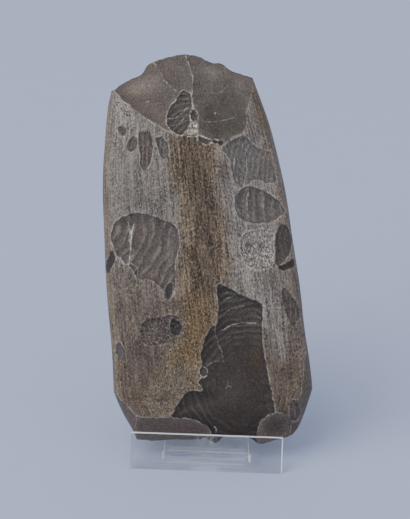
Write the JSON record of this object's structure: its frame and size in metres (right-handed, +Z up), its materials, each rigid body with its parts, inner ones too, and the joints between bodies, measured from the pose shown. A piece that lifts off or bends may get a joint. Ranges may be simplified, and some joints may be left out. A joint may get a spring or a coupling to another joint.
{
  "type": "ground flint axe head on a display stand",
  "caption": "Long tapering flint axe head, ground smooth on its faces and re-flaked at its ends, leaning back on a small clear acrylic easel stand.",
  "frame": {"origin": "on the table, under the middle of the whole object", "axes": "+Z up; +Y away from the viewer, from the stand's front lip to its rear leg; +X to the viewer's right"},
  "size_m": [0.0868, 0.0812, 0.152],
  "materials": {
    "flint": "worn polish with rough flake scars",
    "clear_acrylic": "clear and glossy, flame-polished edges"
  },
  "bodies": {
    "root": {"flint_axe_head": "flint", "acrylic_stand": "clear_acrylic"}
  },
  "joints": []
}
